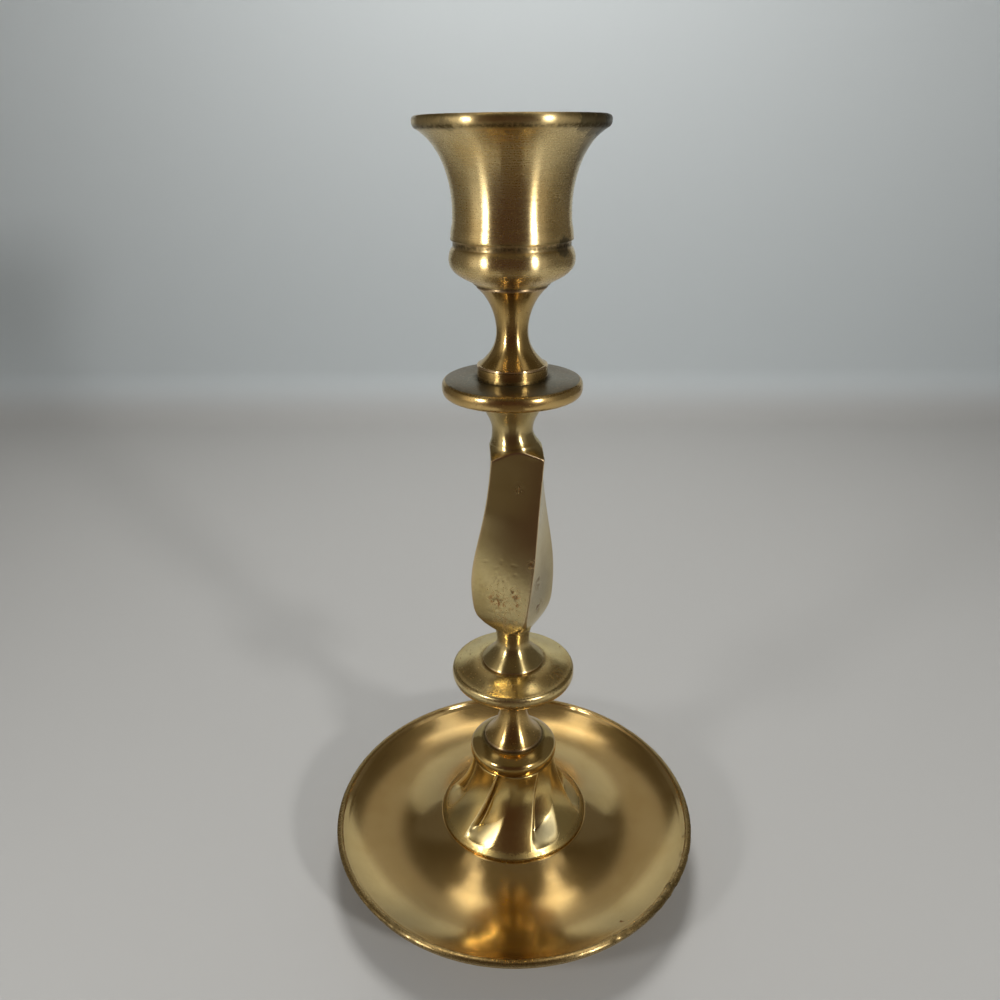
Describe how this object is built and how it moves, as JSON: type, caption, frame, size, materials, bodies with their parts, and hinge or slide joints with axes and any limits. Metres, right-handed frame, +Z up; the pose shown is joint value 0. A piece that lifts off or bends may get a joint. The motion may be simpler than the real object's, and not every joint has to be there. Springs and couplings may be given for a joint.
{
  "type": "candle holder",
  "caption": "Candlestick with a flared cup over turned spools and discs, a slowly twisted square baluster, a bell with slanted flutes, and a wide drip pan.",
  "frame": {"origin": "on the axis, on the table that the pan's foot ring stands on", "axes": "+Z up along the axis, +X to the right and -Y to the front as pictured"},
  "size_m": [0.1056, 0.1056, 0.2032],
  "materials": {
    "turned_brass": "turned and polished, tarnished in places",
    "cast_brass": "cast, satin faces with small pits, polished edges",
    "spun_brass": "satin with fine circular marks",
    "plated_steel": "plain"
  },
  "bodies": {
    "root": {"candle_cup": "turned_brass", "upper_spool": "turned_brass", "upper_disc": "turned_brass", "twisted_baluster": "cast_brass", "lower_disc": "turned_brass", "lower_spool": "turned_brass", "base_cap": "turned_brass", "fluted_bell": "cast_brass", "drip_pan": "spun_brass", "upper_stud": "plated_steel", "lower_stud": "plated_steel", "base_washer": "plated_steel", "base_nut": "plated_steel"}
  },
  "joints": []
}
